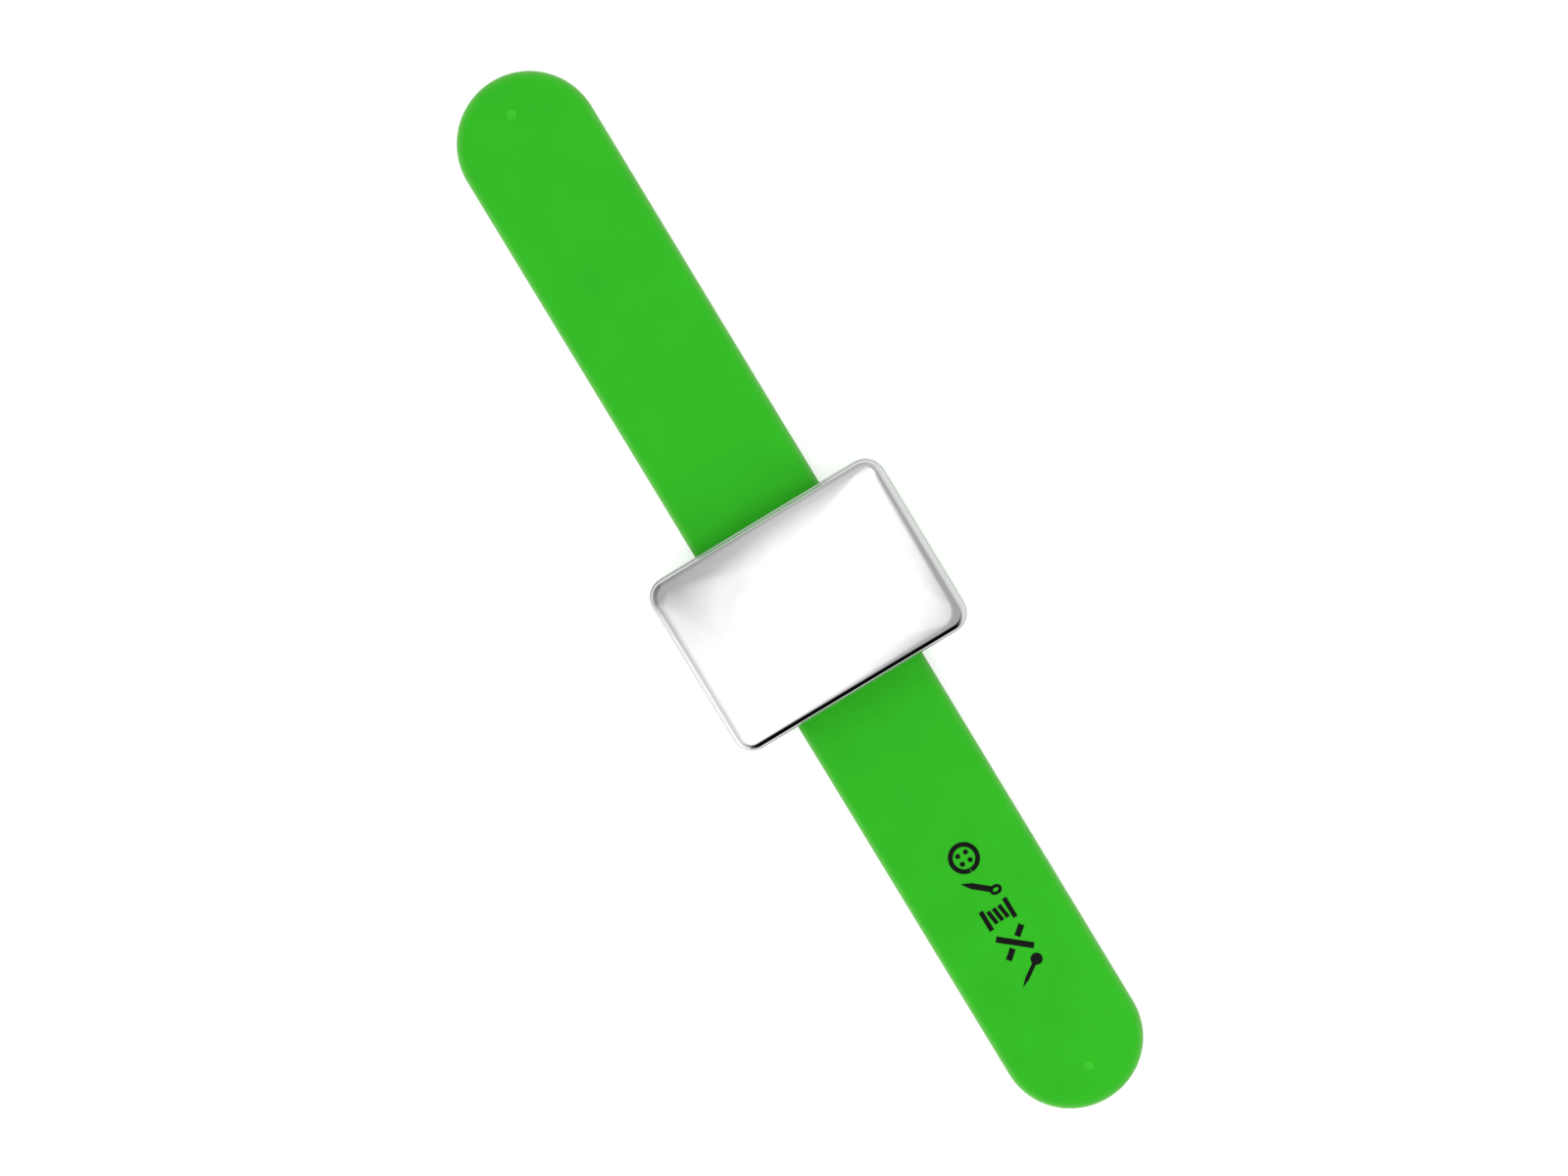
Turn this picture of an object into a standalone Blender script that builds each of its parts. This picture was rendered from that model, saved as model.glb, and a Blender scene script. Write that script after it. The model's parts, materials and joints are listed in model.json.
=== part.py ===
"""Magnetic wrist pin holder: a silicone slap strap with a spring-steel band inside it, and a raised
base across its middle that holds a block magnet under a polished steel cap.

The strap lies flat along X with its face up and its underside on Z = 0. X = 0 and Y = 0 are the middle
of the strap. The band and the moulding are flexible in use. Here each arm is a chain of short rigid
lengths, hinged about Y at the band's height, and it curls down and under, round a wrist.
"""

import math

import bmesh
import bpy
from mathutils import Matrix

MM = 0.001

# Strap
STRAP_LENGTH = 230 * MM
STRAP_WIDTH = 28 * MM
STRAP_THICKNESS = 2.4 * MM
TROUGH_RISE = 0.95 * MM  # how far the long edges stand above the middle of the strap
STRAP_EDGE_RADIUS = 0.9 * MM
DIMPLE_RADIUS = 0.9 * MM
DIMPLE_DEPTH = 0.5 * MM
DIMPLE_FROM_END = 7.45 * MM

# Spring band and the slot it lies in
BAND_WIDTH = 19 * MM
BAND_THICKNESS = 0.25 * MM
BAND_FROM_END = 9 * MM
BAND_CORNER_RADIUS = 4 * MM
CLEARANCE = 0.3 * MM  # between pieces that touch on the real object

# Base under the plate
BASE_LENGTH = 38.4 * MM  # along the strap
BASE_WIDTH = 52.6 * MM
BASE_OFFSET = 2.5 * MM  # from the middle of the strap
BASE_HEIGHT = 3.6 * MM
BASE_CORNER_RADIUS = 4.4 * MM
BASE_RIM_BEVEL = 0.4 * MM
UPSTAND_HEIGHT = 5.9 * MM
POCKET_FLOOR = 2.5 * MM

# Magnet and its adhesive pads
MAGNET_LENGTH = 30 * MM
MAGNET_WIDTH = 44 * MM
MAGNET_THICKNESS = 2.6 * MM
MAGNET_CORNER_RADIUS = 1 * MM
MAGNET_BEVEL = 0.3 * MM
PAD_THICKNESS = 0.3 * MM
PAD_MARGIN = 1 * MM

# Cap
SHEET = 0.5 * MM
LIP_LENGTH = 37.8 * MM
LIP_WIDTH = 52.0 * MM
LIP_CORNER_RADIUS = 4.1 * MM
LIP_REACH = 0.5 * MM
CAP_TOP = 7.4 * MM
CAP_FILLET = 1.3 * MM
WALL_LEAN = 0.1 * MM  # how much the wall closes in towards the top

# Flexing arms
ARM_LENGTHS = 11  # rigid lengths in each arm
HINGE_HEIGHT = 1.1 * MM
HINGE_GAP = 0.7 * MM
STUB = 4 * MM  # fixed strap beyond each side of the base
TIP_LENGTH = 15 * MM

# Fineness of the faceted shapes
TROUGH_STEPS = 6
CORNER_STEPS = 5
EDGE_STEPS = 2
FILLET_STEPS = 3
END_STEPS = 12
DIMPLE_SIDES = 16
WELD_DISTANCE = 0.001 * MM
SMOOTH_ANGLE = math.radians(35)

TROUGH_RADIUS = ((STRAP_WIDTH / 2) ** 2 + TROUGH_RISE**2) / (2 * TROUGH_RISE)
BAND_HEIGHT = STRAP_THICKNESS / 2
SLOT_WIDTH = BAND_WIDTH + 2 * CLEARANCE
SLOT_THICKNESS = BAND_THICKNESS + 2 * CLEARANCE
BASE_LEFT = BASE_OFFSET - BASE_LENGTH / 2
BASE_RIGHT = BASE_OFFSET + BASE_LENGTH / 2
OVERRUN = 2 * MM  # how far a cutting tool runs past what it cuts


# Scene


def clear_scene():
    for thing in list(bpy.data.objects):
        bpy.data.objects.remove(thing)


def principled(name, colour, roughness, metallic=0.0):
    made = bpy.data.materials.new(name)
    made.use_nodes = True
    shader = made.node_tree.nodes["Principled BSDF"]
    shader.inputs["Base Color"].default_value = (*colour, 1)
    shader.inputs["Roughness"].default_value = roughness
    shader.inputs["Metallic"].default_value = metallic
    return made


def new_object(name, mesh):
    made = bpy.data.objects.new(name, mesh)
    PARTS.objects.link(made)
    return made


def finish(part, material):
    """Gives a finished part its material and shades its round stretches smooth."""
    part.data.materials.clear()
    part.data.materials.append(material)
    part.data.shade_smooth()
    part.data.set_sharp_from_angle(angle=SMOOTH_ANGLE)
    return part


def evaluated_mesh(thing):
    bpy.context.view_layer.update()
    return bpy.data.meshes.new_from_object(thing.evaluated_get(bpy.context.evaluated_depsgraph_get()))


def carve(target, tool, operation):
    """Applies a Boolean of the tool to the target's mesh, and removes the tool."""
    step = target.modifiers.new("Carve", "BOOLEAN")
    step.operation = operation
    step.solver = "EXACT"
    step.object = tool
    mesh = evaluated_mesh(target)
    target.modifiers.clear()
    target.data = mesh
    bpy.data.objects.remove(tool)


def bevel_rims(part, width):
    """Bevels the sharp rims of an upright block, and leaves its faceted corners alone."""
    step = part.modifiers.new("Rims", "BEVEL")
    step.width = width
    step.segments = 2
    step.limit_method = "ANGLE"
    step.angle_limit = math.radians(60)
    mesh = evaluated_mesh(part)
    part.modifiers.clear()
    part.data = mesh


# Outlines


def rounded_rectangle(half_x, half_y, radius, corner_steps, side_steps=1):
    """Closed outline, anticlockwise. Its sides along X are divided into side_steps."""
    points = []
    for corner, (sign_x, sign_y) in enumerate(((1, 1), (-1, 1), (-1, -1), (1, -1))):
        centre_x, centre_y = sign_x * (half_x - radius), sign_y * (half_y - radius)
        for step in range(corner_steps + 1 if radius else 1):
            angle = math.radians(90) * (corner + step / corner_steps)
            points.append((centre_x + radius * math.cos(angle), centre_y + radius * math.sin(angle)))
        if corner in (0, 2):
            for step in range(1, side_steps):
                points.append((centre_x * (1 - 2 * step / side_steps), sign_y * half_y))
    return points


def trough_section(width, thickness, corner):
    """Section of a strip, as (y, z), bent to the strap's trough about the band's height."""
    flat = rounded_rectangle(width / 2, thickness / 2, corner, EDGE_STEPS, TROUGH_STEPS)
    bent = []
    for across, up in flat:
        radius, angle = TROUGH_RADIUS - up, across / TROUGH_RADIUS
        height = BAND_HEIGHT + TROUGH_RADIUS - radius * math.cos(angle)
        bent.append((radius * math.sin(angle), height))
    return bent


def round_ended(start, end, half_width, radius):
    """Plan outline from start to end along X, square at the start and rounded by radius at the end."""
    points = [(start, half_width), (start, -half_width)]
    for side in (-1, 1):
        for step in range(END_STEPS + 1):
            turn = math.radians(90) * step / END_STEPS
            angle = turn - math.radians(90) if side < 0 else turn
            centre_y = side * (half_width - radius)
            points.append((end - radius + radius * math.cos(angle), centre_y + radius * math.sin(angle)))
    return points


# Solids


def extruded(name, outlines, length, matrix):
    """Extrudes outlines in XY by length about Z = 0, an inner one being a hole, and places the result."""
    curve = bpy.data.curves.new(name, "CURVE")
    curve.dimensions = "2D"
    curve.fill_mode = "BOTH"
    curve.extrude = length / 2
    for outline in outlines:
        spline = curve.splines.new("POLY")
        spline.points.add(len(outline) - 1)
        for point, (x, y) in zip(spline.points, outline):
            point.co = (x, y, 0, 1)
        spline.use_cyclic_u = True
    drawn = new_object(name + "_outline", curve)
    mesh = evaluated_mesh(drawn)
    bpy.data.objects.remove(drawn)
    work = bmesh.new()
    work.from_mesh(mesh)
    bmesh.ops.remove_doubles(work, verts=work.verts, dist=WELD_DISTANCE)
    bmesh.ops.recalc_face_normals(work, faces=work.faces)
    work.to_mesh(mesh)
    work.free()
    mesh.transform(matrix)
    return new_object(name, mesh)


def block(name, outline, bottom, top, centre_x=0.0):
    """An upright block on a plan outline."""
    place = Matrix.Translation((centre_x, 0, (bottom + top) / 2))
    return extruded(name, [outline], top - bottom, place)


def strip(name, sections, start, end, drop=0.0):
    """A strip along X on sections given as (y, z), lowered by drop."""
    turn = Matrix(((0, 0, 1, 0), (1, 0, 0, 0), (0, 1, 0, 0), (0, 0, 0, 1)))
    place = Matrix.Translation(((start + end) / 2, 0, -drop))
    return extruded(name, sections, end - start, place @ turn)


def lofted(name, rings):
    """A closed solid through a row of rings with equal numbers of points, closed at its two ends."""
    work = bmesh.new()
    loops = [[work.verts.new(point) for point in ring] for ring in rings]
    for near, far in zip(loops, loops[1:]):
        for step, corner in enumerate(near):
            after = (step + 1) % len(near)
            work.faces.new((corner, near[after], far[after], far[step]))
    work.faces.new(loops[0])
    work.faces.new(loops[-1])
    bmesh.ops.recalc_face_normals(work, faces=work.faces)
    mesh = bpy.data.meshes.new(name)
    work.to_mesh(mesh)
    work.free()
    return new_object(name, mesh)


# The parts


def strap_section():
    return trough_section(STRAP_WIDTH, STRAP_THICKNESS, STRAP_EDGE_RADIUS)


def slot_section():
    return trough_section(SLOT_WIDTH, SLOT_THICKNESS, 0)


def band_section():
    return trough_section(BAND_WIDTH, BAND_THICKNESS, 0)


def cap_ring(inset, height):
    """Plan of the cap at a height, drawn in from its lip by inset."""
    outline = rounded_rectangle(
        LIP_LENGTH / 2 - inset, LIP_WIDTH / 2 - inset, LIP_CORNER_RADIUS - inset, CORNER_STEPS
    )
    return [(x + BASE_OFFSET, y, height) for x, y in outline]


def cap_fillet(inset, height, radius):
    """Rings over a rounded rim, from the wall at that inset up to the flat at that height."""
    rings = []
    for step in range(FILLET_STEPS + 1):
        angle = math.radians(90) * step / FILLET_STEPS
        in_by = inset + radius * (1 - math.cos(angle))
        rings.append(cap_ring(in_by, height - radius * (1 - math.sin(angle))))
    return rings


def make_cap():
    """Drawn sheet: a flat top with a rounded rim, a nearly upright wall and a small lip at its foot."""
    foot = BASE_HEIGHT + CLEARANCE
    outer = cap_fillet(LIP_REACH + WALL_LEAN, CAP_TOP, CAP_FILLET)
    inner = cap_fillet(LIP_REACH + WALL_LEAN + SHEET, CAP_TOP - SHEET, CAP_FILLET - SHEET)
    lip = [
        cap_ring(LIP_REACH + SHEET, foot),
        cap_ring(0, foot),
        cap_ring(0, foot + SHEET),
        cap_ring(LIP_REACH, foot + SHEET),
    ]
    return finish(lofted("cap", inner[::-1] + lip + outer), STEEL)


def make_base():
    """Silicone base: flange, upstand with the magnet's pocket, and a stub of strap on either side."""
    plan = rounded_rectangle(BASE_LENGTH / 2, BASE_WIDTH / 2, BASE_CORNER_RADIUS, CORNER_STEPS)
    base = block("base_moulding", plan, 0, BASE_HEIGHT, BASE_OFFSET)
    bevel_rims(base, BASE_RIM_BEVEL)
    draw_in = LIP_REACH + SHEET + CLEARANCE
    upstand = rounded_rectangle(
        LIP_LENGTH / 2 - draw_in, LIP_WIDTH / 2 - draw_in, LIP_CORNER_RADIUS - draw_in, CORNER_STEPS
    )
    bottom = BASE_HEIGHT / 2
    carve(base, block("upstand", upstand, bottom, UPSTAND_HEIGHT, BASE_OFFSET), "UNION")
    start, end = BASE_LEFT - STUB + HINGE_GAP / 2, BASE_RIGHT + STUB - HINGE_GAP / 2
    carve(base, strip("stubs", [strap_section()], start, end), "UNION")
    carve(base, strip("slot", [slot_section()], start - OVERRUN, end + OVERRUN), "DIFFERENCE")
    pocket = rounded_rectangle(
        MAGNET_LENGTH / 2 + CLEARANCE, MAGNET_WIDTH / 2 + CLEARANCE, MAGNET_CORNER_RADIUS, CORNER_STEPS
    )
    top = UPSTAND_HEIGHT + OVERRUN
    carve(base, block("pocket", pocket, POCKET_FLOOR, top, BASE_OFFSET), "DIFFERENCE")
    finish(base, SILICONE)
    finish(strip("band_middle", [band_section()], start, end), SPRING)


def make_magnet_and_pads():
    """Magnet with an adhesive pad below it and one above it, each on the one under it."""
    magnet_plan = rounded_rectangle(
        MAGNET_LENGTH / 2, MAGNET_WIDTH / 2, MAGNET_CORNER_RADIUS, CORNER_STEPS
    )
    pad_plan = rounded_rectangle(
        MAGNET_LENGTH / 2 - PAD_MARGIN, MAGNET_WIDTH / 2 - PAD_MARGIN, MAGNET_CORNER_RADIUS, CORNER_STEPS
    )
    floor = POCKET_FLOOR
    stack = (
        ("pad_lower", pad_plan, PAD_THICKNESS, ADHESIVE),
        ("magnet", magnet_plan, MAGNET_THICKNESS, FERRITE),
        ("pad_upper", pad_plan, PAD_THICKNESS, ADHESIVE),
    )
    for name, plan, thickness, material in stack:
        bottom = floor + CLEARANCE
        part = block(name, plan, bottom, bottom + thickness, BASE_OFFSET)
        if material is FERRITE:
            bevel_rims(part, MAGNET_BEVEL)
        finish(part, material)
        floor = bottom + thickness


def tip_meshes():
    """Meshes of an arm's round-ended last length and of the band's end in its closed pocket."""
    face, overrun = HINGE_GAP / 2, STRAP_THICKNESS + TROUGH_RISE
    tip = strip("tip", [strap_section()], face, TIP_LENGTH + OVERRUN, HINGE_HEIGHT)
    plan = round_ended(-OVERRUN, TIP_LENGTH, STRAP_WIDTH / 2, STRAP_WIDTH / 2)
    carve(tip, block("tip_plan", plan, -overrun, overrun), "INTERSECT")
    band_end = TIP_LENGTH - BAND_FROM_END
    for clearance, section in ((CLEARANCE, slot_section()), (0, band_section())):
        piece = strip("band_tip", [section], face - clearance, TIP_LENGTH, HINGE_HEIGHT)
        plan = round_ended(
            -OVERRUN, band_end + clearance, BAND_WIDTH / 2 + clearance, BAND_CORNER_RADIUS + clearance
        )
        carve(piece, block("band_tip_plan", plan, -overrun, overrun), "INTERSECT")
        if clearance:
            carve(tip, piece, "DIFFERENCE")
    dimple = bmesh.new()
    top = STRAP_THICKNESS - HINGE_HEIGHT
    place = Matrix.Translation((TIP_LENGTH - DIMPLE_FROM_END, 0, top))
    bmesh.ops.create_cone(
        dimple, cap_ends=True, segments=DIMPLE_SIDES, radius1=DIMPLE_RADIUS, radius2=DIMPLE_RADIUS,
        depth=2 * DIMPLE_DEPTH, matrix=place,
    )
    cutter = bpy.data.meshes.new("dimple")
    dimple.to_mesh(cutter)
    dimple.free()
    carve(tip, new_object("dimple", cutter), "DIFFERENCE")
    meshes = finish(tip, SILICONE).data, finish(piece, SPRING).data
    bpy.data.objects.remove(tip)
    bpy.data.objects.remove(piece)
    return meshes


def length_meshes(pitch):
    """Meshes of one plain length of strap and of the band in it, from a hinge at X = 0."""
    start, end = HINGE_GAP / 2, pitch - HINGE_GAP / 2
    strap = strip("length", [strap_section(), slot_section()], start, end, HINGE_HEIGHT)
    band = strip("band_length", [band_section()], start, end, HINGE_HEIGHT)
    meshes = finish(strap, SILICONE).data, finish(band, SPRING).data
    bpy.data.objects.remove(strap)
    bpy.data.objects.remove(band)
    return meshes


def make_arm(side, start, reach, heading, tips):
    """One arm from its first hinge at X = start, with a parent empty on each hinge."""
    pitch = (reach - TIP_LENGTH) / (ARM_LENGTHS - 1)
    plain = length_meshes(pitch)
    parent = None
    for number in range(1, ARM_LENGTHS + 1):
        hinge = new_object(f"hinge_{side}_{number:02d}", None)
        hinge.empty_display_size = STRAP_THICKNESS
        if parent:
            hinge.parent = parent
            hinge.location.x = pitch
        else:
            hinge.location = (start, 0, HINGE_HEIGHT)
            hinge.rotation_euler.z = heading
        meshes = tips if number == ARM_LENGTHS else plain
        for kind, mesh in zip(("strap", "band"), meshes):
            piece = new_object(f"{kind}_{side}_{number:02d}", mesh)
            piece.parent = hinge
        parent = hinge


clear_scene()
PARTS = bpy.data.collections.new("wrist_pin_holder")
bpy.context.scene.collection.children.link(PARTS)
SILICONE = principled("green_silicone", (0.035, 0.5, 0.018), 0.5)
SPRING = principled("spring_steel", (0.55, 0.56, 0.58), 0.3, 1.0)
STEEL = principled("polished_steel", (0.85, 0.85, 0.86), 0.06, 1.0)
FERRITE = principled("ferrite", (0.05, 0.05, 0.055), 0.6)
ADHESIVE = principled("adhesive", (0.85, 0.85, 0.8), 0.6)

make_base()
make_magnet_and_pads()
make_cap()
TIPS = tip_meshes()
make_arm("left", BASE_LEFT - STUB, STRAP_LENGTH / 2 + BASE_LEFT - STUB, math.pi, TIPS)
make_arm("right", BASE_RIGHT + STUB, STRAP_LENGTH / 2 - BASE_RIGHT - STUB, 0, TIPS)
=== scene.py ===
"""Looks of a magnetic wrist pin holder: a silicone slap strap with a polished steel plate over a magnet.

The strap lies along X, face up. It is drawn as one skin cut in the middle of each rigid length, a piece
to each hinge.
"""

import json
import math

import bmesh
import bpy
from mathutils import Matrix, Vector

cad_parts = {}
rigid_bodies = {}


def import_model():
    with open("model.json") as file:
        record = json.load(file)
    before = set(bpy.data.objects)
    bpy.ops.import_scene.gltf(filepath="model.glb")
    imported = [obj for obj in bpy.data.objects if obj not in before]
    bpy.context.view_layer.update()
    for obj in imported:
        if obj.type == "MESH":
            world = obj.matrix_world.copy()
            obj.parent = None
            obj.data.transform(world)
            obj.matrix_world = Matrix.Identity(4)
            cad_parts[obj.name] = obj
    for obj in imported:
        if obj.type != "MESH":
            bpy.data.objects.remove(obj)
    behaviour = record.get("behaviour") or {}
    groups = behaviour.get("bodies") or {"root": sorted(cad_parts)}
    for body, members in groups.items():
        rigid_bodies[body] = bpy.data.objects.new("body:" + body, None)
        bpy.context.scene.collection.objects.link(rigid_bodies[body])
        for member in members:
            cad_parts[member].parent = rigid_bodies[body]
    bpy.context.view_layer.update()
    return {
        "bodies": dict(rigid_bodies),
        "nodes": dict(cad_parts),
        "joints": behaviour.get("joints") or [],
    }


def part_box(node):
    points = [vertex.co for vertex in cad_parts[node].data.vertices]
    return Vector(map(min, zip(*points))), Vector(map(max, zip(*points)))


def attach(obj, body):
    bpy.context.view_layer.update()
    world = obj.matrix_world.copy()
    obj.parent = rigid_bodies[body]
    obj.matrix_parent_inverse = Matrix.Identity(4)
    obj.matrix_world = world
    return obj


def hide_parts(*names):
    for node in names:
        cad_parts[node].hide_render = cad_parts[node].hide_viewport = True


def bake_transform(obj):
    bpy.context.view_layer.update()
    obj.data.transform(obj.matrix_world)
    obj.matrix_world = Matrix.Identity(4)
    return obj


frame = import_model()

MM = 0.001

# Strap, as in the CAD model
THICKNESS = 2.4 * MM
TROUGH_RISE = 0.95 * MM
STRAP_EDGE = 1.0 * MM
BAND_WIDTH = 19 * MM
BAND_THICKNESS = 0.25 * MM
BAND_EDGE = 0.06 * MM
CLEARANCE = 0.3 * MM
BAND_FROM_END = 9 * MM
BAND_CORNER = 4 * MM
DIMPLE_FROM_END = 7.45 * MM
DIMPLE_RADIUS = 0.9 * MM
DIMPLE_DEPTH = 0.16 * MM
PAINTED_SHEEN_WIDTH = 1.6 * MM  # of the strip of painted sheen round the outline
PARTING_RIDGE = 0.05 * MM
PARTING_WIDTH = 0.14 * MM

# Base and cap
BASE_HEIGHT = 3.6 * MM
BASE_CORNER = 4.4 * MM
BASE_EDGE = 0.45 * MM
BASE_TUCK = 0.1 * MM  # of its ends under the cap's lip
POCKET_FLOOR = 2.5 * MM
POCKET_CORNER = 1 * MM
SHEET = 0.5 * MM  # the cap's steel
LIP_REACH = 0.25 * MM
LIP_OVER_CAD = 0.2 * MM  # each way along the strap
LIP_CORNER = 4.1 * MM
WALL_LEAN = 0.1 * MM
CAP_FILLET = 1.3 * MM
FILLET_FLATNESS = 0.65  # its height as a share of its width
CAP_CROWN = 0.14 * MM
CROWN_ROUNDING = 30 * MM  # how fast the crown's contours round off inwards

# Print
PRINT_START = 57 * MM
PRINT_END = 89 * MM
PRINT_HEIGHT = 6.3 * MM
PRINT_ACROSS = 0.3 * MM
INK_THICKNESS = 0.03 * MM
INK_LIFT = 0.004 * MM
POINT_WIDTH = 0.1  # of a needle's or pin's point, as a share of its stroke
POINT_STEPS = 9  # from the point to the full width
DOT_REACH = 0.98  # of a dot's radius, where its stroke ends
NEARLY_ROUND = 357  # degrees

# Fineness
ALONG_STEP = 0.5 * MM
ACROSS_STEPS = 18
EDGE_STEPS = 5
LINE_STEPS = 24
ARC_STEPS = 48
ROUND_STEPS = 48
CORNER_STEPS = 14
SIDE_STEPS = 12
FILLET_STEPS = 14
CROWN_STEPS = 24
WELD = 0.001 * MM
SHARP_ANGLE = math.radians(35)

# Camera
CAMERA_AIM = Vector((-2.64, -2.4, 2.0)) * MM
CAMERA_DISTANCE = 0.9
CAMERA_LENS = 107.0
LEAN_TO_PLAIN_ARM = math.radians(2.8)
LEAN_TO_BACK = math.radians(2.5)
STRAP_SLOPE = math.radians(58.85)  # of the strap below the picture's horizontal

# Colours
GREEN = (0.0235, 0.385, 0.0107)
PAINTED_SHEEN_GREEN = (0.125, 0.36, 0.075)  # painted sheen at the rim: the edge's paler, greyer reflection put into the colour
LIT_THROUGH_GREEN = (0.038, 0.45, 0.02)  # painted light showing through the thin silicone in the dimples
MOTTLE = 0.03  # lighter and darker
BLACK_INK, THIN_INK = (0.004, 0.005, 0.004), (0.012, 0.02, 0.01)

# Light
FLOOR_SIZE = 8.0
FLOOR_GAP = 0.05 * MM
FLOOR_GLOW = 0.6
FLOOR_GLOW_IN_GLOSS = 0.15
KEY_PLACE = Vector((0.45, -0.6, 0.8))
KEY_SIZE = 0.6
KEY_POWER = 3.5
FILL = 3.05, 0.48, 0.2, 0.75  # the world as a light on matt surfaces: low down, overhead, and the heights
GLOSS_LEVEL = 1.2  # of the world in mirrors

# Flags in the mirrored world, round the direction that the plate shows to the photo's camera. Each has the
# world's level where the flag starts and where it ends, then those two places, as parts of a unit direction.
# The plain side's levels are its grey and the gloss level. A slant turns a flag's edge.
PRINTED_FLAG = 1, 0, 0.15, 0.33
PRINTED_FLAG_SIDES = 0, 1, 0.15, 0.5
BACK_FLAG = GLOSS_LEVEL, 0.42, 0.06, 0.1
BACK_FLAG_OUTER = 0.42, 0.75, 0.32, 0.62
BACK_FLAG_SLANT, BACK_FLAG_CORNER = 0.8, 7
PLAIN_FLAG = -0.075, -0.034
PLAIN_FLAG_GREY = 0.46, 0.68, -0.022, 0.005
PLAIN_FLAG_OUTER = 0.65, 1, -0.9, -0.15
PLAIN_FLAG_SLANT, PLAIN_FLAG_FRONT_SLANT = 0.3, 0.7
PLAIN_FLAG_FRONT_END = -0.034
FRONT_FLAG = 0.62, 1, -0.12, -0.08
FRONT_FLAG_OUTER = 1, 0.62, -0.7, -0.5
LOW_LEVEL = 0.85  # towards which the flags fade low in the sky
LOW_FADE = 0.7, 0, 0.15, 0.4

base_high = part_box("base_moulding")[1]
cap_low, cap_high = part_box("cap")
tip_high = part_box("strap_right_11")[1]
HALF_WIDTH = tip_high.y
STRAP_END = tip_high.x
TROUGH_RADIUS = (HALF_WIDTH**2 + TROUGH_RISE**2) / (2 * TROUGH_RISE)
MIDDLE = Vector(((cap_low.x + cap_high.x) / 2, 0, 0))
LIP_HALF_X = (cap_high.x - cap_low.x) / 2 + LIP_OVER_CAD
DIRECTION = {"left": -1, "right": 1}
HINGES = {
    side: sorted(
        (joint for joint in frame["joints"] if joint["name"].startswith(side)),
        key=lambda joint: abs(joint["pos_m"][0]),
    )
    for side in DIRECTION
}


def middles(joints):
    """Distances from the origin to the middle of each rigid length, the fixed one first."""
    at = [abs(joint["pos_m"][0]) for joint in joints]
    half = (at[1] - at[0]) / 2
    return [at[0] - half] + [x + half for x in at]


MID_LENGTHS = {side: middles(joints) for side, joints in HINGES.items()}

# Meshes


def trough(x, across, up):
    """Place of a point of the strap, given along it, across its skin and above its middle plane."""
    radius, angle = TROUGH_RADIUS - up, across / TROUGH_RADIUS
    return (x, radius * math.sin(angle), THICKNESS / 2 + TROUGH_RADIUS - radius * math.cos(angle))


def mesh_object(name, points, faces, weld=True):
    """Object made from points and faces, with its normals outwards."""
    mesh = bpy.data.meshes.new(name)
    mesh.from_pydata(points, [], faces)
    work = bmesh.new()
    work.from_mesh(mesh)
    if weld:
        bmesh.ops.remove_doubles(work, verts=work.verts, dist=WELD)
        bmesh.ops.dissolve_degenerate(work, edges=work.edges, dist=WELD)
    bmesh.ops.recalc_face_normals(work, faces=work.faces)
    work.to_mesh(mesh)
    work.free()
    made = bpy.data.objects.new(name, mesh)
    bpy.context.scene.collection.objects.link(made)
    return made


def dress(piece, material, slot_name, *nodes):
    """Material, smooth shading, and hides the CAD nodes that the piece stands for. The slot name is not
    used.
    """
    piece.data.materials.clear()
    piece.data.materials.append(material)
    piece.data.shade_smooth()
    piece.data.set_sharp_from_angle(angle=SHARP_ANGLE)
    if nodes:
        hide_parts(*nodes)
    return piece


def evaluated_mesh(thing):
    bpy.context.view_layer.update()
    return bpy.data.meshes.new_from_object(thing.evaluated_get(bpy.context.evaluated_depsgraph_get()))


def carve(target, tool, operation):
    """Applies a Boolean of the tool to the target's mesh, and removes the tool."""
    step = target.modifiers.new("Carve", "BOOLEAN")
    step.operation = operation
    step.solver = "EXACT"
    step.object = tool
    mesh = evaluated_mesh(target)
    target.modifiers.clear()
    target.data = mesh
    bpy.data.objects.remove(tool)


def quarter_turns():
    return [math.radians(90) * step / EDGE_STEPS for step in range(EDGE_STEPS + 1)]


def half_profile(half_width, half_thickness, edge, ridge=0.0):
    """Half of a flat strip's section, from the middle of its top round its edge to the middle of its
    bottom, as (across, up). A ridge stands out of the middle of the edge."""
    flat = half_width - edge
    points = [(flat * step / ACROSS_STEPS, half_thickness) for step in range(ACROSS_STEPS)]
    points += [
        (flat + edge * math.sin(turn), half_thickness - edge * (1 - math.cos(turn)))
        for turn in quarter_turns()
    ]
    straight = half_thickness - edge
    points += [(half_width, min(PARTING_WIDTH / 2, straight / 2)), (half_width + ridge, 0)]
    below = [(across, -up) for across, up in reversed(points[:-1])]
    return points + below


def section_loop(half):
    """Whole section from its half: down the +Y side and back up the -Y side."""
    return half + [(-across, up) for across, up in reversed(half[1:-1])]


def tube_faces(loops, size, first=0):
    """Faces round a row of loops of that size, whose points start at first."""
    return [
        (first + row * size + i, first + row * size + (i + 1) % size,
         first + (row + 1) * size + (i + 1) % size, first + (row + 1) * size + i)
        for row in range(loops - 1)
        for i in range(size)
    ]


def steps_between(start, end):
    """Places from start to end, about a step of the mesh apart."""
    count = max(1, math.ceil((end - start) / ALONG_STEP))
    return [start + (end - start) * i / count for i in range(count + 1)]


def tube(loop, places, widths=None):
    """Points of a section swept along X, drawn in to a share of its width at each place."""
    widths = widths or [1.0] * len(places)
    return [trough(x, across * share, up) for x, share in zip(places, widths) for across, up in loop]


def turned(points, direction):
    """The right arm's points as they are, or turned half round to the left arm."""
    return [(direction * x, direction * y, z) for x, y, z in points]


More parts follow.
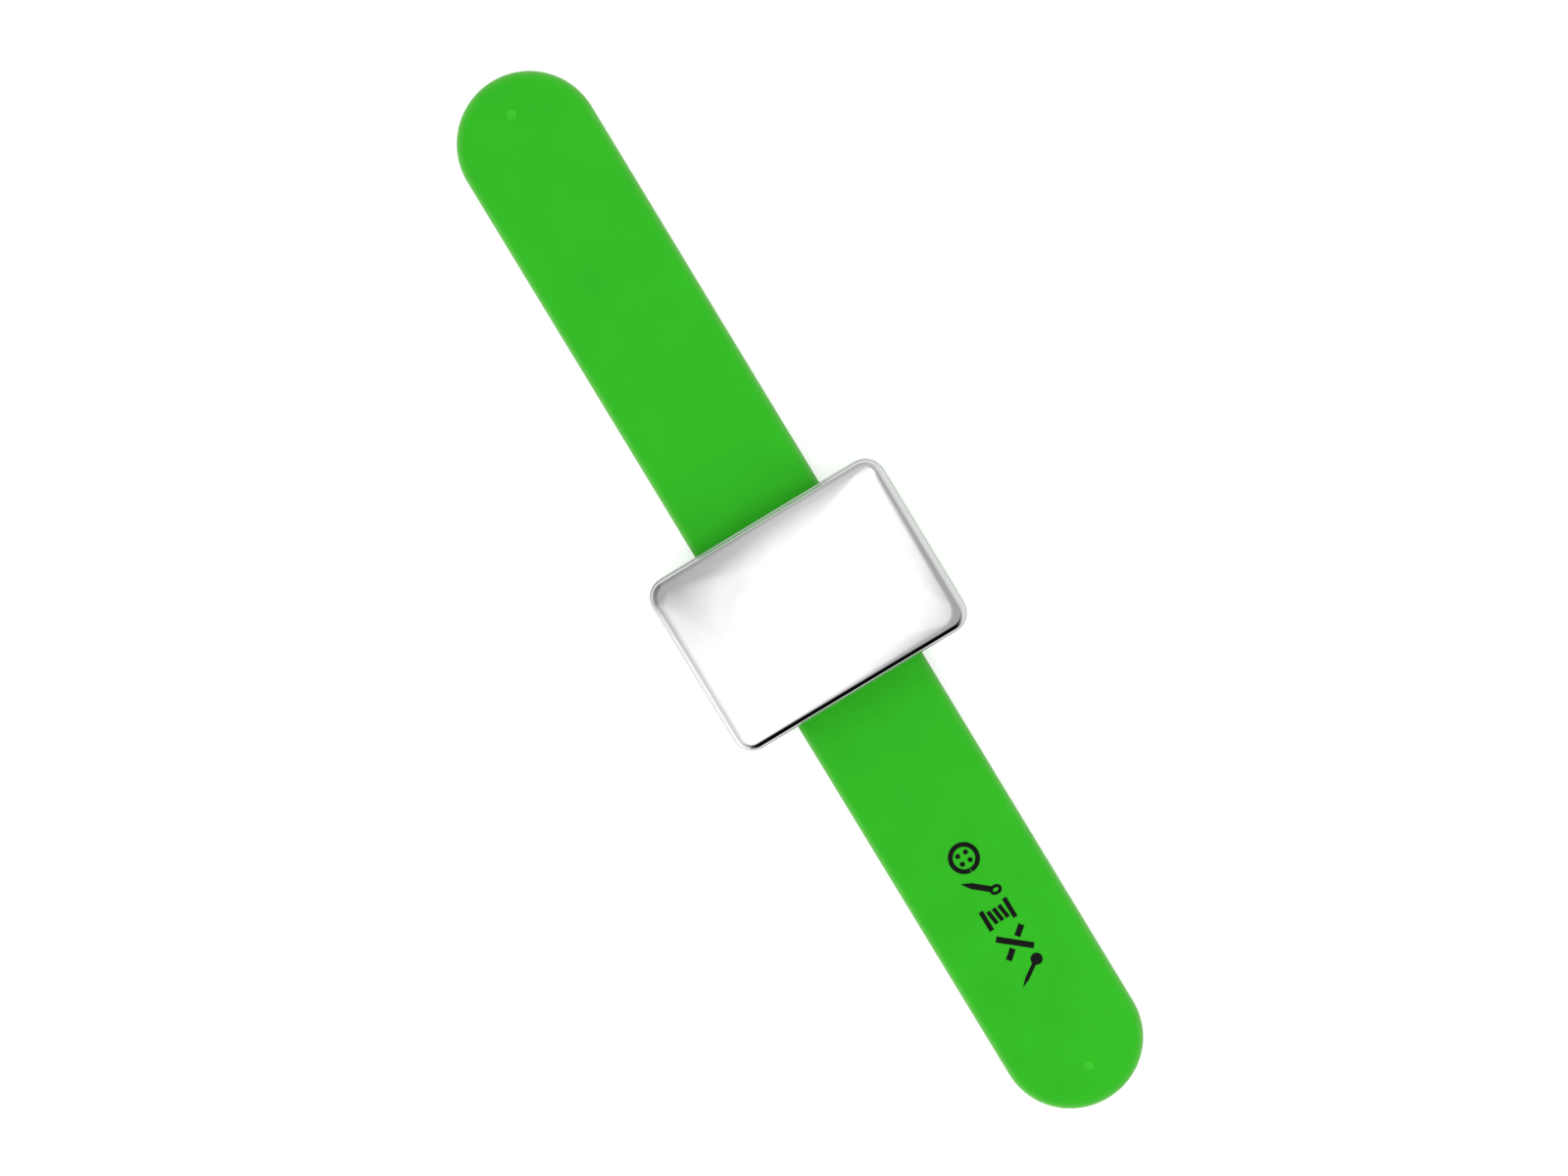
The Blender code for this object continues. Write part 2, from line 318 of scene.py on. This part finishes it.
STRAP_HALF = half_profile(HALF_WIDTH, THICKNESS / 2, STRAP_EDGE, PARTING_RIDGE)
SLOT_HALF = half_profile(BAND_WIDTH / 2 + CLEARANCE, BAND_THICKNESS / 2 + CLEARANCE, CLEARANCE)
BAND_HALF = half_profile(BAND_WIDTH / 2, BAND_THICKNESS / 2, BAND_EDGE)
STRAP_LOOP, SLOT_LOOP, BAND_LOOP = (section_loop(half) for half in (STRAP_HALF, SLOT_HALF, BAND_HALF))
SIZE = len(STRAP_LOOP)


def strap_length(name, start, end, direction):
    """A hollow length of strap, open at its slot."""
    places = steps_between(start, end)
    points = tube(STRAP_LOOP, places) + tube(SLOT_LOOP, places)
    inner = SIZE * len(places)
    faces = tube_faces(len(places), SIZE) + tube_faces(len(places), SIZE, inner)
    for ring in (0, SIZE * (len(places) - 1)):
        faces += ring_faces(ring, inner + ring)
    return mesh_object(name, turned(points, direction), faces, weld=False)


def ring_faces(outer, inner):
    """Faces across the cut between the strap's skin and its slot."""
    return [
        (outer + i, outer + (i + 1) % SIZE, inner + (i + 1) % SIZE, inner + i) for i in range(SIZE)
    ]


def band_length(name, start, end, direction, widths=None, places=None):
    """A length of spring band with closed ends, drawn in where widths say so."""
    places = places or steps_between(start, end)
    points = tube(BAND_LOOP, places, widths)
    last = SIZE * (len(places) - 1)
    ends = [tuple(range(SIZE)), tuple(range(last, last + SIZE))]
    return mesh_object(name, turned(points, direction), tube_faces(len(places), SIZE) + ends)


def rounded_stretch(start, end, half_width, corner):
    """Places along X up to a rounded end, and the share of the half width that is left at each."""
    places = steps_between(start, end - corner)[:-1]
    turns = quarter_turns()
    widths = [1.0] * len(places) + [1 - corner * (1 - math.cos(turn)) / half_width for turn in turns]
    return places + [end - corner * (1 - math.sin(turn)) for turn in turns], widths


def strap_tip(name, start, direction):
    """The round end of an arm with the band's closed pocket and the moulder's locating dimple."""
    centre = STRAP_END - HALF_WIDTH
    straight = steps_between(start, centre)
    arcs = [math.radians(90 - 180 * step / ROUND_STEPS) for step in range(1, ROUND_STEPS)]
    points = []
    for across, up in STRAP_HALF:
        points += [trough(x, across, up) for x in straight]
        points += [trough(centre + across * math.cos(a), across * math.sin(a), up) for a in arcs]
        points += [trough(x, -across, up) for x in reversed(straight)]
    row = 2 * len(straight) + len(arcs)
    faces = [
        (line * row + i, line * row + i + 1, (line + 1) * row + i + 1, (line + 1) * row + i)
        for line in range(len(STRAP_HALF) - 1)
        for i in range(row - 1)
    ]
    places, widths = rounded_stretch(
        start, STRAP_END - BAND_FROM_END + CLEARANCE, BAND_WIDTH / 2 + CLEARANCE, BAND_CORNER
    )
    pocket, mouth = len(points), len(points) + SIZE * len(places)
    points += tube(SLOT_LOOP, places, widths) + tube(STRAP_LOOP, [start])
    faces += tube_faces(len(places), SIZE, pocket) + ring_faces(mouth, pocket)
    faces.append(tuple(range(mouth - SIZE, mouth)))
    tip = mesh_object(name, turned(points, direction), faces)
    carve(tip, dimple_cutter(direction * (STRAP_END - DIMPLE_FROM_END)), "DIFFERENCE")
    return tip


def dimple_cutter(x):
    """A ball that sinks into the strap's face as far as the dimple is deep."""
    ball_radius = (DIMPLE_RADIUS**2 + DIMPLE_DEPTH**2) / (2 * DIMPLE_DEPTH)
    bpy.ops.mesh.primitive_uv_sphere_add(
        segments=64, ring_count=96, radius=ball_radius,
        location=(x, 0, THICKNESS - DIMPLE_DEPTH + ball_radius),
    )
    return bpy.context.object


# Rounded blocks


def plan_ring(half_x, half_y, radius, height):
    """Rounded rectangle about the plate's middle, at a height."""
    arcs = []
    for corner, (sign_x, sign_y) in enumerate(((1, 1), (-1, 1), (-1, -1), (1, -1))):
        centre = Vector((sign_x * (half_x - radius), sign_y * (half_y - radius)))
        turns = [math.radians(90) * (corner + step / CORNER_STEPS) for step in range(CORNER_STEPS + 1)]
        arcs.append([centre + radius * Vector((math.cos(turn), math.sin(turn))) for turn in turns])
    outline = []
    for arc, after in zip(arcs, arcs[1:] + arcs[:1]):
        outline += arc
        outline += [arc[-1].lerp(after[0], step / SIDE_STEPS) for step in range(1, SIDE_STEPS)]
    return [(MIDDLE.x + x, MIDDLE.y + y, height) for x, y in outline]


def lofted(name, rings):
    """Closed solid through a row of rings."""
    size = len(rings[0])
    points = [point for ring in rings for point in ring]
    last = len(points) - size
    ends = [tuple(range(size)), tuple(range(last, last + size))]
    return mesh_object(name, points, tube_faces(len(rings), size) + ends, weld=False)


def block(name, half_x, half_y, radius, bottom, top):
    return lofted(name, [plan_ring(half_x, half_y, radius, z) for z in (bottom, top)])


def quarter():
    """Sine and cosine round a quarter turn."""
    return [(math.sin(turn), math.cos(turn)) for turn in quarter_turns()]


def make_base():
    """Silicone base with rounded rims, the upstand in the cap, and the strap running through it."""
    lip_x, lip_y = LIP_HALF_X, cap_high.y
    half_x, half_y = lip_x - BASE_TUCK, lip_y

    def ring(inset, height):
        return plan_ring(half_x - inset, half_y - inset, BASE_CORNER - inset, height)

    rings = [ring(BASE_EDGE * (1 - s), BASE_EDGE * (1 - c)) for s, c in quarter()]
    rings += [ring(BASE_EDGE * (1 - c), BASE_HEIGHT - BASE_EDGE * (1 - s)) for s, c in quarter()]
    base = lofted("base_silicone", rings)
    draw_in = LIP_REACH + SHEET + CLEARANCE
    carve(base, block("upstand", lip_x - draw_in, lip_y - draw_in, LIP_CORNER - draw_in,
                      BASE_HEIGHT / 2, base_high.z), "UNION")
    start, end = -MID_LENGTHS["left"][0], MID_LENGTHS["right"][0]
    run = mesh_object("run", tube(STRAP_LOOP, [start, end]), box_faces(), weld=False)
    carve(base, run, "UNION")
    through = tube(SLOT_LOOP, [start - BASE_EDGE, end + BASE_EDGE])
    slot = mesh_object("slot", through, box_faces(), weld=False)
    carve(base, slot, "DIFFERENCE")
    low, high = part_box("magnet")
    pocket = block("pocket", (high.x - low.x) / 2 + CLEARANCE, high.y + CLEARANCE, POCKET_CORNER,
                   POCKET_FLOOR, base_high.z + BASE_EDGE)
    carve(base, pocket, "DIFFERENCE")
    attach(dress(base, SILICONE, "silicone", "base_moulding"), "holder")
    band = band_length("band_under_plate", start, end, 1)
    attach(dress(band, SPRING, "spring_steel", "band_middle"), "holder")


def box_faces():
    """Faces of a section swept between two places, closed at both ends."""
    return tube_faces(2, SIZE) + [tuple(range(SIZE)), tuple(range(SIZE, 2 * SIZE))]


def make_cap():
    """Drawn steel cap: crowned face, rounded rim, leaning wall, and a small lip with rounded edges."""
    half_x, half_y = LIP_HALF_X, cap_high.y
    foot, top = cap_low.z, cap_high.z

    def ring(inset, height):
        return plan_ring(half_x - inset, half_y - inset, LIP_CORNER - inset, height)

    def shell(inset, height, radius):
        """From the foot of the rim up round it, and in to the middle of the crowned face."""
        rise = math.atan(4 * CAP_CROWN / half_x)
        up_to_crown = math.atan2(FILLET_FLATNESS, math.tan(rise))
        turns = [up_to_crown * step / FILLET_STEPS for step in range(FILLET_STEPS + 1)]
        places = [
            (inset + radius * (1 - math.cos(turn)), height - FILLET_FLATNESS * radius * (1 - math.sin(turn)))
            for turn in turns
        ]
        rings = [ring(*place) for place in places]
        edge, rim = places[-1]
        for step in range(1, CROWN_STEPS):
            share = 1 - step / CROWN_STEPS
            crown_x, crown_y = (half_x - edge) * share, (half_y - edge) * share
            corner = min(crown_x, LIP_CORNER - edge + CROWN_ROUNDING * (1 - share))
            rings.append(plan_ring(crown_x, crown_y, corner, rim + CAP_CROWN * (1 - share**4)))
        return rings

    inset = LIP_REACH + WALL_LEAN
    outer = shell(inset, top, CAP_FILLET)
    inner = shell(inset + SHEET, top - SHEET, CAP_FILLET - SHEET)
    half_sheet = SHEET / 2
    nose = [
        ring(half_sheet * (1 - s), foot + half_sheet * (1 - c)) for s, c in quarter()
    ] + [
        ring(half_sheet * (1 - c), foot + SHEET - half_sheet * (1 - s)) for s, c in quarter()[1:]
    ]
    cap = lofted("cap_steel", inner[::-1] + [ring(LIP_REACH + SHEET, foot)] + nose + outer)
    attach(dress(cap, STEEL, "polished_steel", "cap"), "holder")


def make_arm(side):
    """Strap and band of one arm, a piece to each hinge, cut in the middle of the rigid lengths."""
    direction, mids = DIRECTION[side], MID_LENGTHS[side]
    last = len(HINGES[side])
    for number, joint in enumerate(HINGES[side], 1):
        start = mids[number - 1]
        end = mids[number] if number < last else STRAP_END
        names = f"{side}_strap_{number:02d}", f"{side}_band_{number:02d}"
        if number < last:
            strap = strap_length(names[0], start, end, direction)
            band = band_length(names[1], start, end, direction)
        else:
            strap = strap_tip(names[0], start, direction)
            places, widths = rounded_stretch(start, STRAP_END - BAND_FROM_END, BAND_WIDTH / 2, BAND_CORNER)
            band = band_length(names[1], start, end, direction, widths, places)
        dress(strap, SILICONE, "silicone", f"strap_{side}_{number:02d}")
        # marks where the painted sheen goes round the strap's outline
        mark_painted_sheen(strap)
        if number == last:
            # the dimple's paler green is painted light showing through the thin silicone
            paint_light_through_dimple(strap, direction * (STRAP_END - DIMPLE_FROM_END))
        dress(band, SPRING, "spring_steel", f"band_{side}_{number:02d}")
        for piece in (strap, band):
            bend_at(piece)


def mark_painted_sheen(strap):
    """Stores how near each point is to the strap's outline, from 0 inside the rim to 1 at the edge, as the
    mask of the painted sheen.
    """
    rim = strap.data.attributes.new("rim", "FLOAT", "POINT")
    for vert, mark in zip(strap.data.vertices, rim.data):
        past_centre = max(0, abs(vert.co.x) - (STRAP_END - HALF_WIDTH))
        out = math.hypot(past_centre, vert.co.y)
        mark.value = max(0, 1 - (HALF_WIDTH - out) / PAINTED_SHEEN_WIDTH) ** 2


def paint_light_through_dimple(tip, x):
    """The silicone is thinner under the dimple; its faces there get a paler green, painted light that shows
    through it.
    """
    tip.data.materials.append(LIT_THROUGH_SILICONE)
    for face in tip.data.polygons:
        off = face.center - Vector((x, 0, THICKNESS))
        if math.hypot(off.x, off.y) < DIMPLE_RADIUS and -DIMPLE_DEPTH - WELD < off.z < -WELD:
            face.material_index = 1


def bend_at(piece):
    """Bakes the piece's placing into its mesh; nothing bends it about its hinge."""
    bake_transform(piece)


# Print


def ribbon(path, widths):
    """Flat closed strip of ink along a path of (x, across) points, in strap coordinates."""
    path = [Vector(point) for point in path]
    points = []
    for i, point in enumerate(path):
        before, after = path[max(i - 1, 0)], path[min(i + 1, len(path) - 1)]
        run = (after - before).normalized()
        side = Vector((-run.y, run.x)) * widths[i] / 2
        for offset, up in ((side, 1), (-side, 1), (-side, 0), (side, 0)):
            points.append((*(point + offset), THICKNESS / 2 + INK_LIFT + up * INK_THICKNESS))
    last = len(points) - 4
    return points, tube_faces(len(path), 4) + [(0, 1, 2, 3), tuple(range(last, last + 4))]


def line(start, end):
    return [Vector(start).lerp(Vector(end), step / LINE_STEPS) for step in range(LINE_STEPS + 1)]


def ellipse(middle, half_x, half_y):
    """Points nearly all the way round."""
    turns = [math.radians(NEARLY_ROUND * step / ARC_STEPS) for step in range(ARC_STEPS + 1)]
    return [(middle[0] + half_x * math.cos(turn), middle[1] + half_y * math.sin(turn)) for turn in turns]


def dot(middle, radius):
    """A disc, as a stroke whose width follows the circle."""
    reach = radius * DOT_REACH
    path = line((middle[0] - reach, middle[1]), (middle[0] + reach, middle[1]))
    return path, [2 * math.sqrt(radius**2 - (point[0] - middle[0]) ** 2) for point in path]


def even(path, width):
    """A stroke of one width."""
    return path, [width] * len(path)


def pointed(path, width):
    """A stroke that starts in a point."""
    return path, [width * min(1, POINT_WIDTH + step / POINT_STEPS) for step in range(len(path))]


# Sewing signs one high about their middles, each a list of strokes (path, widths)


def button():
    holes = [dot((x, y), 0.08) for x in (-0.14, 0.14) for y in (-0.14, 0.14)]
    return [even(ellipse((0, 0), 0.425, 0.425), 0.15)] + holes


def needle():
    return [pointed(line((-0.36, -0.5), (0.24, 0.22)), 0.19), even(ellipse((0.32, 0.34), 0.11, 0.15), 0.1)]


def spool():
    flanges = [even(line((-0.34, y), (0.34, y)), 0.15) for y in (-0.425, 0.425)]
    windings = [even(line((-0.23, y - 0.03), (0.23, y + 0.03)), 0.13) for y in (-0.2, 0, 0.2)]
    return flanges + windings


def cross_stitch():
    over = line((-0.38, -0.46), (0.38, 0.46))
    under = [line((sign * 0.13, -sign * 0.16), (sign * 0.38, -sign * 0.46)) for sign in (-1, 1)]
    return [even(path, 0.19) for path in (over, *under)]


def ball_pin():
    return [pointed(line((0.3, -0.5), (-0.17, 0.2)), 0.13), dot((-0.24, 0.31), 0.19)]


def signs():
    """Ribbons of all the signs, in a row along the printed arm."""
    drawings = (button, needle, spool, cross_stitch, ball_pin)
    pitch = (PRINT_END - PRINT_START) / len(drawings)
    for place, drawing in enumerate(drawings):
        middle = PRINT_START + pitch * (place + 0.5)
        for path, widths in drawing():
            path = [(middle + x * PRINT_HEIGHT, PRINT_ACROSS + y * PRINT_HEIGHT) for x, y in path]
            yield ribbon(path, [width * PRINT_HEIGHT for width in widths])


def make_print():
    """The signs' ink, cut where the strap's pieces are."""
    ribbons = list(signs())
    for number, joint in enumerate(HINGES["right"], 1):
        start, end = MID_LENGTHS["right"][number - 1 : number + 1]
        if start > PRINT_END or end < PRINT_START:
            continue
        work = bmesh.new()
        for points, faces in ribbons:
            verts = [work.verts.new(point) for point in points]
            for face in faces:
                work.faces.new([verts[i] for i in face])
        for x, normal in ((start, -1), (end, 1)):
            cut = bmesh.ops.bisect_plane(
                work, geom=work.verts[:] + work.edges[:] + work.faces[:], dist=WELD,
                plane_co=(x, 0, 0), plane_no=(normal, 0, 0), clear_outer=True,
            )["geom_cut"]
            edges = [part for part in cut if isinstance(part, bmesh.types.BMEdge)]
            bmesh.ops.holes_fill(work, edges=edges)
        bmesh.ops.recalc_face_normals(work, faces=work.faces)
        for vert in work.verts:
            vert.co = trough(*vert.co)
        mesh = bpy.data.meshes.new("print")
        work.to_mesh(mesh)
        work.free()
        if mesh.polygons:
            ink = bpy.data.objects.new(f"print_{number:02d}", mesh)
            bpy.context.scene.collection.objects.link(ink)
            bend_at(dress(ink, INK, None))


# Materials


class Nodes:
    """A node tree, built a node at a time. A value can be a number, a colour or another node's output."""

    def __init__(self, tree):
        self.tree = tree

    def node(self, kind, **values):
        made = self.tree.nodes.new(kind)
        for name, value in values.items():
            setattr(made, name, value)
        return made

    def feed(self, socket, value):
        if isinstance(value, bpy.types.NodeSocket):
            self.tree.links.new(value, socket)
        elif isinstance(value, tuple) and len(value) == 3 and socket.type == "RGBA":
            socket.default_value = (*value, 1)
        else:
            socket.default_value = value

    def math(self, operation, *values):
        made = self.node("ShaderNodeMath", operation=operation)
        for socket, value in zip(made.inputs, values):
            self.feed(socket, value)
        return made.outputs[0]

    def remap(self, source, low, high, start=0.3, end=0.7):
        """A value that runs from low to high as the source runs from start to end, by default over most
        of a noise's range."""
        made = self.node("ShaderNodeMapRange")
        values = {"Value": source, "From Min": start, "From Max": end, "To Min": low, "To Max": high}
        for name, value in values.items():
            self.feed(made.inputs[name], value)
        return made.outputs["Result"]

    def mix(self, factor, first, second, kind="RGBA"):
        made = self.node("ShaderNodeMix", data_type=kind)
        sockets = [socket for socket in made.inputs if socket.enabled]
        for socket, value in zip(sockets, (factor, first, second)):
            self.feed(socket, value)
        return next(socket for socket in made.outputs if socket.enabled)


class Material(Nodes):
    """A Principled material, with noise and bump measured in metres on the object."""

    def __init__(self, name, colour, roughness, metallic=0.0):
        self.material = bpy.data.materials.new(name)
        self.material.use_nodes = True
        super().__init__(self.material.node_tree)
        self.shader = self.tree.nodes["Principled BSDF"]
        self.set("Base Color", colour)
        self.set("Roughness", roughness)
        self.set("Metallic", metallic)
        self.place = self.node("ShaderNodeTexCoord").outputs["Object"]

    def set(self, name, value):
        self.feed(self.shader.inputs[name], value)

    def noise(self, size, detail=2.0, stretch=(1, 1, 1)):
        """Noise with features of about that size, drawn out by stretch."""
        mapping = self.node("ShaderNodeMapping")
        mapping.inputs["Scale"].default_value = [1 / (size * part) for part in stretch]
        self.feed(mapping.inputs["Vector"], self.place)
        noise = self.node("ShaderNodeTexNoise")
        noise.inputs["Scale"].default_value = 1.0
        noise.inputs["Detail"].default_value = detail
        self.feed(noise.inputs["Vector"], mapping.outputs["Vector"])
        return noise.outputs["Fac"]

    def bump(self, *layers):
        """Stacks of (height source, height in metres), the last one outermost."""
        for source, height in layers:
            bump = self.node("ShaderNodeBump")
            bump.inputs["Distance"].default_value = height
            self.feed(bump.inputs["Height"], source)
            if self.shader.inputs["Normal"].is_linked:
                self.feed(bump.inputs["Normal"], self.shader.inputs["Normal"].links[0].from_socket)
            self.set("Normal", bump.outputs["Normal"])


def silicone(name, green):
    """Bright moulded silicone: satin, finely grained by the mould, slightly mottled, with a painted sheen
    greying the rim.
    """
    made = Material(name, green, 0.5)
    tone = made.remap(made.noise(9 * MM, 3), 0, 1)
    darker, lighter = (tuple(part * share for part in green) for share in (1 - MOTTLE, 1 + MOTTLE))
    body = made.mix(tone, darker, lighter)
    # painted sheen: the rim's paler, greyer reflection painted into the base colour, broken up by noise
    rim = made.node("ShaderNodeAttribute", attribute_name="rim").outputs["Fac"]
    painted_sheen_mask = made.math("MULTIPLY", rim, made.remap(made.noise(1.2 * MM, 3), 0.8, 1))
    made.set("Base Color", made.mix(painted_sheen_mask, body, PAINTED_SHEEN_GREEN))
    made.set("Roughness", made.remap(made.noise(2.5 * MM, 4), 0.44, 0.54))
    made.set("IOR", 1.42)
    made.set("Specular IOR Level", 0.16)
    made.set("Sheen Weight", 0.22)
    made.set("Sheen Roughness", 0.35)
    made.bump((made.noise(6 * MM, 2), 0.02 * MM), (made.noise(0.12 * MM, 2), 0.004 * MM))
    return made.material


def polished_steel():
    """Mirror-polished stainless steel with faint handling marks and fine scratches one way."""
    made = Material("polished_steel", (0.88, 0.88, 0.885), 0.05, 1.0)
    made.set("Roughness", made.remap(made.noise(5 * MM, 4), 0.03, 0.07))
    made.bump(
        (made.noise(9 * MM, 1), 0.004 * MM),
        (made.noise(0.09 * MM, 3, (1, 60, 1)), 0.00004 * MM),
    )
    return made.material


def spring_steel():
    """Bright rolled strip, with the rolls' fine lines along its length."""
    made = Material("spring_steel", (0.55, 0.56, 0.58), 0.3, 1.0)
    lines = made.noise(0.08 * MM, 3, (80, 1, 1))
    made.set("Roughness", made.remap(lines, 0.22, 0.4))
    made.bump((lines, 0.0006 * MM))
    return made.material


def ferrite():
    """Dark grey sintered magnet, with a fine grain and rubbed patches."""
    made = Material("ferrite", (0.045, 0.045, 0.05), 0.6)
    rubbed = made.remap(made.noise(4 * MM, 5), 0, 1, 0.5, 0.7)
    made.set("Base Color", made.mix(rubbed, (0.04, 0.04, 0.045), (0.09, 0.09, 0.095)))
    made.bump((made.noise(0.15 * MM, 4), 0.01 * MM))
    return made.material


def adhesive():
    """Milky double-sided film with trapped air."""
    made = Material("adhesive", (0.85, 0.85, 0.8), 0.55)
    bubbles = made.noise(1.5 * MM, 3)
    milky = made.remap(bubbles, 0, 1, 0.55, 0.65)
    made.set("Base Color", made.mix(milky, (0.8, 0.8, 0.74), (0.9, 0.9, 0.87)))
    made.bump((bubbles, 0.01 * MM))
    return made.material


def ink():
    """Black pad-printed ink, slightly thin in places."""
    made = Material("ink", BLACK_INK, 0.5)
    thin = made.remap(made.noise(0.5 * MM, 4), 0, 1, 0.6, 0.75)
    made.set("Base Color", made.mix(thin, BLACK_INK, THIN_INK))
    made.set("Specular IOR Level", 0.12)
    made.bump((made.noise(0.2 * MM, 3), 0.004 * MM))
    return made.material


# Studio


def make_floor():
    """White floor that glows a little to the eye, less in mirrors, and not as a light on the part. It
    sinks to stay under the arms as they curl down, so that it never hides them."""
    bpy.ops.mesh.primitive_plane_add(size=FLOOR_SIZE, location=(0, 0, -FLOOR_GAP))
    floor = bpy.context.object
    floor.name = "floor"
    paint = Material("floor", (0.6, 0.6, 0.6), 0.9)
    paint.set("Emission Color", (1, 1, 1))
    path = paint.node("ShaderNodeLightPath")
    seen = paint.math("SUBTRACT", 1, path.outputs["Is Diffuse Ray"])
    glow = paint.mix(path.outputs["Is Glossy Ray"], FLOOR_GLOW, FLOOR_GLOW_IN_GLOSS, "FLOAT")
    paint.set("Emission Strength", paint.math("MULTIPLY", seen, glow))
    paint.set("Specular IOR Level", 0.1)
    paint.bump((paint.noise(3 * MM, 3), 0.01 * MM))
    floor.data.materials.append(paint.material)
    for side, joints in HINGES.items():
        for number, joint in enumerate(joints, 1):
            low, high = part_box(f"strap_{side}_{number:02d}")
            marker = bpy.data.objects.new(f"floor_marker_{side}_{number:02d}", None)
            bpy.context.scene.collection.objects.link(marker)
            marker.parent = frame["bodies"][joint["child"]]
            marker.location = (high.x if side == "right" else low.x, 0, high.z + FLOOR_GAP)
            under = floor.constraints.new("FLOOR")
            under.target = marker
            under.floor_location = "FLOOR_NEGATIVE_Z"


def make_key():
    """Large soft light from low on the printed arm's side. Mirrors show the world instead of it."""
    light = bpy.data.lights.new("key", "AREA")
    light.shape = "DISK"
    light.size = KEY_SIZE
    light.energy = KEY_POWER
    key = bpy.data.objects.new("key", light)
    bpy.context.scene.collection.objects.link(key)
    key.location = KEY_PLACE
    key.rotation_euler = (KEY_PLACE - MIDDLE).to_track_quat("Z", "Y").to_euler()
    key.visible_glossy = False


def make_world():
    """White backdrop, which lights matt surfaces most from low down. In mirrors it has flags that draw the
    steel's edges: black past the printed arm, grey past the back, soft grey past the plain arm, and a
    thin one in front. They are fixed in the room, set from where the camera is put."""
    world = bpy.data.worlds.new("studio")
    bpy.context.scene.world = world
    world.use_nodes = True
    nodes = Nodes(world.node_tree)
    split = nodes.node("ShaderNodeSeparateXYZ")
    nodes.feed(split.inputs[0], nodes.node("ShaderNodeTexCoord").outputs["Generated"])
    image = (MIDDLE - bpy.context.scene.camera.location).normalized()
    along = nodes.math("SUBTRACT", split.outputs["X"], image.x)
    across = nodes.math("SUBTRACT", split.outputs["Y"], image.y)

    def slanted(first, second, share):
        return nodes.math("ADD", first, nodes.math("MULTIPLY", second, share))

    aside = nodes.math("ABSOLUTE", across)
    printed_side = nodes.math(
        "MAXIMUM", nodes.remap(along, *PRINTED_FLAG), nodes.remap(aside, *PRINTED_FLAG_SIDES)
    )
    corner = nodes.math("MULTIPLY", nodes.math("MAXIMUM", across, 0), nodes.math("MAXIMUM", along, 0))
    behind = slanted(slanted(across, along, BACK_FLAG_SLANT), corner, BACK_FLAG_CORNER)
    back = nodes.math("MAXIMUM", nodes.remap(behind, *BACK_FLAG), nodes.remap(across, *BACK_FLAG_OUTER))
    near_front = nodes.math("MAXIMUM", across, PLAIN_FLAG_FRONT_END)
    grey = nodes.remap(near_front, *PLAIN_FLAG_GREY)
    in_front = nodes.math("MINIMUM", near_front, 0)
    leaning = slanted(slanted(along, near_front, PLAIN_FLAG_SLANT), in_front, PLAIN_FLAG_FRONT_SLANT)
    plain_side = nodes.math(
        "MULTIPLY", nodes.remap(leaning, grey, GLOSS_LEVEL, *PLAIN_FLAG),
        nodes.remap(along, *PLAIN_FLAG_OUTER),
    )
    front = nodes.math(
        "MAXIMUM", nodes.remap(across, *FRONT_FLAG), nodes.remap(across, *FRONT_FLAG_OUTER)
    )
    sky = nodes.math("MINIMUM", back, plain_side)
    sky = nodes.math("MULTIPLY", nodes.math("MULTIPLY", sky, printed_side), front)
    sky = nodes.mix(nodes.remap(split.outputs["Z"], *LOW_FADE), sky, LOW_LEVEL, "FLOAT")
    sky = nodes.mix(nodes.math("GREATER_THAN", split.outputs["Z"], 0), GLOSS_LEVEL, sky, "FLOAT")
    path = nodes.node("ShaderNodeLightPath")
    fill = nodes.remap(split.outputs["Z"], *FILL)
    lit = nodes.mix(path.outputs["Is Glossy Ray"], fill, sky, "FLOAT")
    background = nodes.tree.nodes["Background"]
    nodes.feed(background.inputs["Strength"], nodes.mix(path.outputs["Is Camera Ray"], lit, 1.0, "FLOAT"))
    nodes.feed(background.inputs["Color"], (1, 1, 1))


def make_camera():
    """Looks down on the strap, leaning a little towards its plain arm and its back edge."""
    right = Vector((math.cos(STRAP_SLOPE), math.sin(STRAP_SLOPE), 0))
    back = Vector((-math.sin(LEAN_TO_PLAIN_ARM), math.sin(LEAN_TO_BACK), 1)).normalized()
    up = back.cross(right).normalized()
    right = up.cross(back)
    camera = bpy.data.objects.new("camera", bpy.data.cameras.new("camera"))
    bpy.context.scene.collection.objects.link(camera)
    camera.data.lens = CAMERA_LENS
    camera.rotation_euler = Matrix((right, up, back)).transposed().to_euler()
    camera.location = CAMERA_AIM + back * CAMERA_DISTANCE
    bpy.context.scene.camera = camera
    bpy.context.view_layer.update()


make_camera()
make_world()
make_key()
make_floor()
bpy.context.scene.view_settings.view_transform = "Standard"

# the second silicone's paler green is painted light showing through the dimples
SILICONE, LIT_THROUGH_SILICONE = silicone("silicone", GREEN), silicone("silicone_lit_through", LIT_THROUGH_GREEN)
STEEL, SPRING, INK = polished_steel(), spring_steel(), ink()
make_base()
make_cap()
for arm in HINGES:
    make_arm(arm)
make_print()
for node, material in (("magnet", ferrite()), ("pad_lower", adhesive()), ("pad_upper", adhesive())):
    frame["nodes"][node].data.materials.clear()
    frame["nodes"][node].data.materials.append(material)
